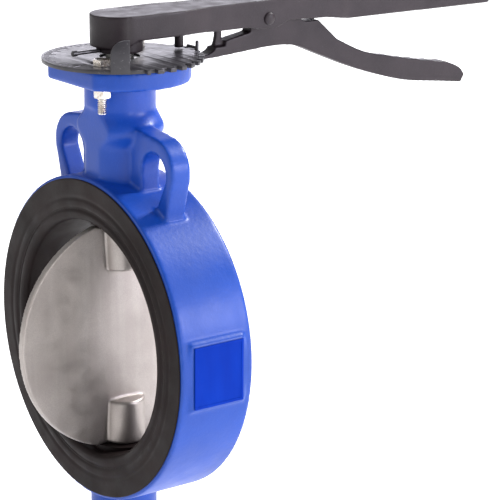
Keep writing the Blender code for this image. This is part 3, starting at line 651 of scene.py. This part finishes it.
# ---- disc ----------------------------------------------------------------
def disc(material):
    """Lens-shaped disc with a rounded boss for each stem."""
    rim, half = 2.5 * MM, 5 * MM
    edge = math.sqrt(DISC_RADIUS ** 2 - rim ** 2)
    face = [(0, half), (0.45 * DISC_RADIUS, 0.92 * half), (0.8 * DISC_RADIUS, 0.62 * half)]
    profile = flowing(face + [(edge, rim)], 6) + arc((edge - rim * 0.25, 0), rim * 0.999, 60, -60, 8)
    profile = [(min(r, DISC_RADIUS), z) for r, z in profile]
    profile += [(r, -z) for r, z in reversed(flowing(face + [(edge, rim)], 6))]
    item = sideways(turned("valve_disc", profile, 240))
    radius, inner, top = 14.4 * MM, 44 * MM, 74 * MM
    for side in (-1, 1):
        boss_profile = [(0, top), (radius - 0.8 * MM, top), (radius, top - 0.8 * MM)]
        boss_profile += arc((radius - 2 * MM, inner + 2.6 * MM), 2 * MM, 0, -70, 6)
        boss_profile += [(0, inner - 0.5 * MM)]
        boss = turned("boss", boss_profile, 96)
        socket = rod("socket", STEM_RADIUS + GAP, 48 * MM, DISC_RADIUS + MM)
        relief = rod("relief", 20.6 * MM, top, DISC_RADIUS + MM, 96)
        if side < 0:
            for shape in (boss, socket, relief):
                moved(shape, Matrix.Rotation(math.pi, 4, "X"))
        add(item, boss)
        cut(item, relief, socket)
    cast(item, 0.8 * MM, 3)
    return publish(item, "stem_and_lever", material, "blasted_stainless", "disc")


# ---- plate, scale and fasteners on the top flange ------------------------
NOTCH_STEP = math.radians(10)
NOTCH_COUNT = 12
NOTCH_FIRST = math.radians(-10)
NOTCH_WIDTH = 5 * MM
TAB_ANGLE = math.radians(-33)
POST_ANGLE = math.radians(75)
RING_STEPS = 48                               # a multiple of 6, so that hexagons keep their corners


def plate_outline():
    half_notch = NOTCH_WIDTH / 2 / TOOTH_RADIUS
    start = NOTCH_FIRST - NOTCH_STEP / 2
    end = start + NOTCH_STEP * NOTCH_COUNT
    degrees = math.degrees
    points = arc((0, 0), PLATE_RADIUS, degrees(end), degrees(start) + 360, 90)
    points += arc((0, 0), TOOTH_RADIUS, degrees(start), degrees(NOTCH_FIRST - half_notch), 2)
    for i in range(NOTCH_COUNT):
        angle = NOTCH_FIRST + i * NOTCH_STEP
        points += arc((0, 0), PLATE_RADIUS, degrees(angle - half_notch), degrees(angle + half_notch), 4)
        last = i == NOTCH_COUNT - 1
        following = end if last else angle + NOTCH_STEP - half_notch
        points += arc((0, 0), TOOTH_RADIUS, degrees(angle + half_notch), degrees(following), 3)
    return points


def stop_tab():
    width, height, thick = 12 * MM, 21 * MM, PLATE_THICKNESS
    corner = 0.8 * width
    outline = [(-width / 2, 0), (width / 2, 0), (width / 2, height)]
    outline += arc((corner - width / 2, height - corner), corner, 90, 180, 16)
    tab = extruded("stop_tab", [outline], -thick / 2, thick / 2)
    moved(tab, Matrix.Rotation(TAB_ANGLE + math.pi / 2, 4, "Z") @ Matrix.Rotation(math.pi / 2, 4, "X"))
    x, y = polar(PLATE_RADIUS - 0.2 * MM, TAB_ANGLE)
    return shifted(tab, x, y, PLATE_Z + 0.2 * MM)


def notch_plate(material):
    hub_hole = arc((0, 0), STEM_RADIUS + 4 * MM, 0, 356, 89)
    plate = extruded("lever_plate", [plate_outline(), hub_hole], PLATE_Z, PLATE_TOP_Z)
    x, y = polar(TOOTH_RADIUS - 1.5 * MM, POST_ANGLE)
    post = turned("post", [(0, 0), (1.1 * MM, 0), (1.1 * MM, 7.4 * MM), (0.7 * MM, 8 * MM), (0, 8 * MM)], 24)
    add(plate, stop_tab(), shifted(post, x, y, PLATE_TOP_Z - 1.5 * MM))
    for x, y in bolt_places()[::2]:
        hole = rod("plate_hole", BOLT_HOLE_RADIUS, PLATE_Z - MM, PLATE_TOP_Z + MM)
        cut(plate, shifted(hole, x, y, 0))
    bevelled(plate, 0.35 * MM)
    return publish(plate, "body", material, "black_plate", "notch_plate")


def scale_marks(material):
    """Radial marks of the opening scale, printed thick near the rim of the plate."""
    shape = bmesh.new()
    for i in range(25):
        angle = math.radians(170 + 5 * i)
        long_mark = i % 3 == 0
        inner = PLATE_RADIUS - (9 if long_mark else 5) * MM
        outer = PLATE_RADIUS - 1.6 * MM
        width = (0.7 if long_mark else 0.45) * MM
        size = Matrix.Diagonal((outer - inner, width, 0.3 * MM, 1))
        spot = Matrix.Rotation(angle, 4, "Z") @ Matrix.Translation(((inner + outer) / 2, 0, PLATE_TOP_Z))
        bmesh.ops.create_cube(shape, size=1, matrix=spot @ size)
    marks = from_bmesh("scale_marks", shape)
    bevelled(marks, 0.08 * MM, 1)
    return publish(marks, "body", material, "black_plate")


def stacked(name, rings, closed=False):
    """Skin over rings of equal length; the two ends are filled, or joined when closed."""
    shape = bmesh.new()
    made = [[shape.verts.new(point) for point in ring] for ring in rings]
    count = len(made[0])
    pairs = list(zip(made, made[1:]))
    if closed:
        pairs.append((made[-1], made[0]))
    for below, above in pairs:
        for i in range(count):
            k = (i + 1) % count
            shape.faces.new((below[i], below[k], above[k], above[i]))
    if not closed:
        shape.faces.new(list(reversed(made[0])))
        shape.faces.new(made[-1])
    return from_bmesh(name, shape)


def ring_points(reach, height, turn):
    """Ring about Z; reach and height are functions of the share of the way round."""
    points = []
    for i in range(RING_STEPS):
        share = i / RING_STEPS
        x, y = polar(reach(share), math.radians(turn) + 2 * math.pi * share)
        points.append((x, y, height(share)))
    return points


def flat_ring(radius, height, turn):
    return ring_points(lambda share: radius, lambda share: height, turn)


def thread_rings(radius, depth, pitch, low, high, turn):
    """Rings of a helical thread that runs out at both ends."""
    rings = []
    rows = int((high - low) / pitch * 10)
    for j in range(rows + 1):
        height = low + (high - low) * j / rows
        fade = min(1.0, (high - height) / pitch, (height - low) / (0.4 * pitch))

        def reach(share):
            phase = ((height - low) / pitch - share) % 1.0
            groove = 1 - abs(2 * phase - 1)
            return radius - depth * (1 - fade * (1 - groove))

        rings.append(ring_points(reach, lambda share: height, turn))
    return rings


def hexagon_rings(across_flats, low, high, turn, both_ends):
    """Rings of a hexagon whose corners are turned off at the top, or at both ends."""
    face = across_flats / 2 * 0.97
    slope = math.tan(math.radians(30))

    def reach(share):
        return across_flats / 2 / math.cos(math.radians(360 * share % 60 - 30))

    def drop(share):
        return (reach(share) - face) * slope

    rings = [ring_points(reach, lambda share: high - drop(share), turn), flat_ring(face, high, turn)]
    if both_ends:
        return [flat_ring(face, low, turn), ring_points(reach, lambda share: low + drop(share), turn)] + rings
    return [ring_points(reach, lambda share: low, turn)] + rings


def plate_fasteners(material):
    """Two bolts through plate and flange, each with its nut."""
    bolt_turn, nut_turn = 20, 32
    thread_depth, pitch = 0.55 * MM, 1.25 * MM
    for i, (x, y) in enumerate(bolt_places()[::2], start=1):
        low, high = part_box("plate_bolt_%d" % i)
        seat = PLATE_TOP_Z + GAP
        rings = thread_rings(BOLT_RADIUS, thread_depth, pitch, low.z, seat, bolt_turn)
        rings += hexagon_rings(BOLT_HEAD_AF, seat, high.z, bolt_turn, False)
        bolt = smooth(stacked("bolt_head_%d" % i, rings), 35)
        publish(shifted(bolt, x, y, 0), "body", material, "zinc_steel", "plate_bolt_%d" % i)
        low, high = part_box("plate_nut_%d" % i)
        bore = BOLT_RADIUS + GAP
        rings = [flat_ring(bore, low.z, nut_turn)]
        rings += hexagon_rings(BOLT_HEAD_AF, low.z, high.z, nut_turn, True)
        rings.append(flat_ring(bore, high.z, nut_turn))
        nut = smooth(stacked("bolt_nut_%d" % i, rings, closed=True), 35)
        publish(shifted(nut, x, y, 0), "body", material, "zinc_steel", "plate_nut_%d" % i)


# ---- lever and what rides on it ------------------------------------------
ARM_HALF_WIDTH = 15 * MM
GRIP_HALF_WIDTH = 14 * MM
ARM_START_Y = 60 * MM
GRIP_START_Y = 176 * MM
LEVER_SIDE_Z = 195.5 * MM
GRIP_SIDE_Z = 192.5 * MM
LEVER_HUB_Z = 187 * MM
LEVER_BOSS_RADIUS = 15 * MM
LEVER_HEEL_Z = 191 * MM
SQUARE = 13 * MM
LUG_Y = 46 * MM
LUG_RADIUS = 3 * MM
SET_SCREW_RADIUS = 2.5 * MM
SLOT_HALF_WIDTH = 6 * MM
SLOT_START_Y = 60 * MM
SLOT_END_Y = 166 * MM
SLOT_ROOF_Z = 207.5 * MM
FINGER_HALF_WIDTH = 1.8 * MM                  # upright finger in front of the pivot


def lever_plan():
    """Plan of the lever: round hub, tapered shoulder, arm and grip with a round end."""
    end = GRIP_HALF_WIDTH
    right = [(HUB_RADIUS, 0), (HUB_RADIUS, 38 * MM), (ARM_HALF_WIDTH, ARM_START_Y),
             (ARM_HALF_WIDTH, GRIP_START_Y - 6 * MM), (GRIP_HALF_WIDTH, GRIP_START_Y)]
    tip = arc((0, LEVER_REACH - end), end, 0, 180, 32)
    hub = arc((0, 0), HUB_RADIUS, 180, 360, 48)
    return right + tip + mirrored(right) + hub[1:-1]


def lever_side():
    """Side of the lever: level top, lugs at the trigger's pivot, and a deeper grip."""
    start = -HUB_RADIUS - MM
    return [(start, LEVER_HEEL_Z), (-7 * MM, LEVER_HEEL_Z), (2 * MM, LEVER_SIDE_Z),
            (44 * MM, LEVER_SIDE_Z), (70 * MM, LEVER_SIDE_Z - 0.9 * MM),
            (PIVOT_Y - 16 * MM, LEVER_SIDE_Z - 0.9 * MM), (PIVOT_Y - 8 * MM, PIVOT_Z - 6.5 * MM),
            (PIVOT_Y + 8 * MM, PIVOT_Z - 6.5 * MM), (PIVOT_Y + 16 * MM, LEVER_SIDE_Z + MM),
            (GRIP_START_Y - 18 * MM, LEVER_SIDE_Z - 0.4 * MM),
            (GRIP_START_Y, GRIP_SIDE_Z), (LEVER_REACH - 12 * MM, GRIP_SIDE_Z - MM),
            (LEVER_REACH + MM, GRIP_SIDE_Z + 5 * MM), (LEVER_REACH + MM, LEVER_TOP_Z - 2 * MM),
            (LEVER_REACH - 8 * MM, LEVER_TOP_Z), (start, LEVER_TOP_Z)]


def lever(material):
    arm = extruded("hand_lever", [lever_plan()], GRIP_SIDE_Z - 5 * MM, LEVER_TOP_Z + MM)
    wide = 30 * MM
    combine(arm, [lengthwise(extruded("lever_side", [lever_side()], -wide, wide))], "INTERSECT")
    hub = rod("lever_hub", LEVER_BOSS_RADIUS, LEVER_HUB_Z, LEVER_SIDE_Z + MM, 96)
    lug = rod("stop_lug", LUG_RADIUS, PLATE_TOP_Z + 0.7 * MM, LEVER_SIDE_Z + 3 * MM, 32)
    add(arm, hub, shifted(lug, 0, LUG_Y, 0))
    hole = SQUARE / 2 + GAP
    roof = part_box("upper_stem")[1].z + GAP
    socket = box("lever_socket", (-hole, -hole, LEVER_HUB_Z - MM), (hole, hole, roof))
    slot = box("trigger_slot", (-SLOT_HALF_WIDTH, SLOT_START_Y, GRIP_SIDE_Z - 5 * MM),
               (SLOT_HALF_WIDTH, SLOT_END_Y, SLOT_ROOF_Z))
    eye = sideways(rod("pivot_eye", PIN_RADIUS + GAP, -wide, wide, 32))
    screw_hole = sideways(rod("set_screw_hole", SET_SCREW_RADIUS + GAP, -wide, 0, 32))
    cut(arm, socket, slot, shifted(eye, 0, PIVOT_Y, PIVOT_Z),
        shifted(screw_hole, 0, 0, (LEVER_HUB_Z + LEVER_TOP_Z) / 2))
    cast(arm, 0.75 * MM, 5)
    return publish(arm, "stem_and_lever", material, "dark_casting", "lever")


def pivot_pin(material):
    """Headed pin whose face is slightly domed."""
    low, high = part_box("trigger_pivot_pin")
    head, shank = (high.z - low.z) / 2, PIN_RADIUS
    face = high.x
    under = face - 1.6 * MM
    dome = [(head * math.sin(a), face - head * 0.18 * (1 - math.cos(a)) * 2.2)
            for a in (math.radians(90) * i / 8 for i in range(9))]
    profile = dome + [(head, under), (shank, under), (shank, low.x + 0.6 * MM),
                      (shank - 0.6 * MM, low.x), (0, low.x)]
    pin = sideways(turned("pivot_pin", profile, 48))
    smooth(shifted(pin, 0, PIVOT_Y, PIVOT_Z), 35)
    return publish(pin, "stem_and_lever", material, "dark_casting", "trigger_pivot_pin")


def trigger_outline():
    """Side of the squeeze trigger: tooth and finger in front, curved handle behind.

    Points are (mm behind the pivot, mm above the centre of the disc).
    """
    front = (TRIGGER_LOW.y - PIVOT_Y) / MM
    lower = [(front, 175), (-38, 175.4), (-16, 176.8), (6, 178.2), (20, 178), (32, 176), (48, 169.4),
             (74, 158.6), (100, 149.4), (128, 141.8), (158, 137.6), (180, 134.6)]
    upper = [(183, 140), (178, 145.6), (166, 150.4), (142, 154.4), (112, 160.4), (88, 167), (66, 177.4)]
    spring_seat = [(49.5, 192), (38.5, 192)]
    crown = [(24, 200.5), (14, 203.5), (0, 204.5), (-7, 201.5), (-7.5, 194.2)]
    finger = [(-7.5, 189.4), (-21.9, 187), (-28.9, 185.4), (-28.9, 200), (-33.6, 200),
              (-33.8, 188), (-35, 183.5), (-37.5, 180), (-42, 178), (-49, 177.8)]
    tooth = [(front + 3.3, 183.8), (front + 2, 184.8), (front, 184.8)]
    over = [(y, z + finger_swell(y)) for y, z in flowing(upper, 6)]
    points = flowing(lower, 6) + over + spring_seat + crown + finger + tooth
    return [(PIVOT_Y + y * MM, z * MM) for y, z in points]


def finger_swell(along):
    """Height in mm of the low swells between the fingers, on top of the trigger's handle."""
    start, pitch, count = 105, 13, 5
    if not start < along < start + pitch * count:
        return 0.0
    return 0.7 * math.sin(math.pi * (along - start) / pitch) ** 2


def trigger(material):
    half = TRIGGER_HIGH.x
    item = lengthwise(extruded("squeeze_trigger", [trigger_outline()], -half, half))
    eye = sideways(rod("trigger_eye", PIN_RADIUS + GAP, -2 * half, 2 * half, 32))
    cut(item, shifted(eye, 0, PIVOT_Y, PIVOT_Z))
    for side in (-1, 1):
        near, far = sorted((side * FINGER_HALF_WIDTH, side * 2 * half))
        cut(item, box("finger_side", (near, PIVOT_Y - 42 * MM, PIVOT_Z - 17 * MM),
                      (far, PIVOT_Y - 28 * MM, PIVOT_Z + 2 * MM)))
    cast(item, 0.7 * MM, 6)
    return publish(item, "trigger", material, "dark_casting", "trigger")


# ---- CAD nodes that stay, with finished materials ------------------------
def dress(materials):
    for material, nodes in materials:
        for node in nodes:
            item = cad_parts[node]
            for slot in item.material_slots:
                slot.material = material


# ---- studio --------------------------------------------------------------
def softbox(name, place, target, size, power, colour=(1, 1, 1)):
    light = bpy.data.lights.new(name, "AREA")
    light.shape = "RECTANGLE"
    light.size, light.size_y = size
    light.energy = power
    light.color = colour
    item = bpy.data.objects.new(name, light)
    bpy.context.scene.collection.objects.link(item)
    item.location = place
    item.rotation_euler = (Vector(target) - Vector(place)).to_track_quat("-Z", "Y").to_euler()
    return item


def studio(floor_material):
    scene = bpy.context.scene
    scene.view_settings.view_transform = "Standard"
    world = bpy.data.worlds.new("studio")
    world.use_nodes = True
    sky = world.node_tree.nodes["Background"]
    sky.inputs["Color"].default_value = (1.0, 1.0, 1.0, 1.0)
    sky.inputs["Strength"].default_value = 0.36
    scene.world = world
    middle = (0, 0, 0.06)
    lilac = (0.90, 0.88, 1.0)
    softbox("key", (0.25, 1.7, 1.5), middle, (0.35, 0.35), 50)
    softbox("right_back", (1.75, 1.25, 0.55), middle, (0.7, 0.6), 22, lilac)
    softbox("right_front", (2.0, 0.05, 0.35), middle, (0.4, 0.8), 7)
    softbox("left_back", (-1.5, 1.3, 0.62), (0, 0.1, 0.2), (1.6, 0.7), 9, lilac)
    softbox("front_fill", (-0.5, -1.9, 0.9), middle, (1.2, 1.0), 8)
    span = 14.0
    bpy.ops.mesh.primitive_plane_add(size=span, location=(0, 0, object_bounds()[0].z - GAP))
    floor = bpy.context.object
    floor.name = "studio_floor"
    floor.data.materials.append(floor_material)
    floor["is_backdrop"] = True


def photo_camera():
    camera = bpy.data.cameras.new("photo_camera")
    camera.lens = 161.59
    camera.sensor_width = 36
    camera.clip_end = 30
    item = bpy.data.objects.new("photo_camera", camera)
    bpy.context.scene.collection.objects.link(item)
    item.location = (1.17771, -0.77655, 0.44994)
    item.rotation_euler = (1.297997, -0.005883, 0.930161)
    bpy.context.scene.camera = item


epoxy = blue_epoxy()
rubber = black_rubber()
stainless = blasted_stainless()
steel = turned_steel()
zinc = zinc_plate()
black = black_plate()
casting = dark_casting()

valve_body(epoxy)
identification_plate(label_blue())
seat_liner(rubber)
disc(stainless)
notch_plate(black)
scale_marks(scale_paint())
plate_fasteners(zinc)
lever(casting)
pivot_pin(casting)
trigger(casting)
dress([(bushing_polymer(), ("upper_bushing", "middle_bushing", "lower_bushing")),
       (rubber, ("stem_seal_1", "stem_seal_2", "bottom_gasket")),
       (zinc, ("bottom_plug",)),
       (steel, ("upper_stem", "lower_stem", "stem_retaining_ring", "lever_set_screw", "pivot_pin_clip",
                "trigger_spring")),
       (black, ("position_pointer",))])
studio(pale_floor())
photo_camera()
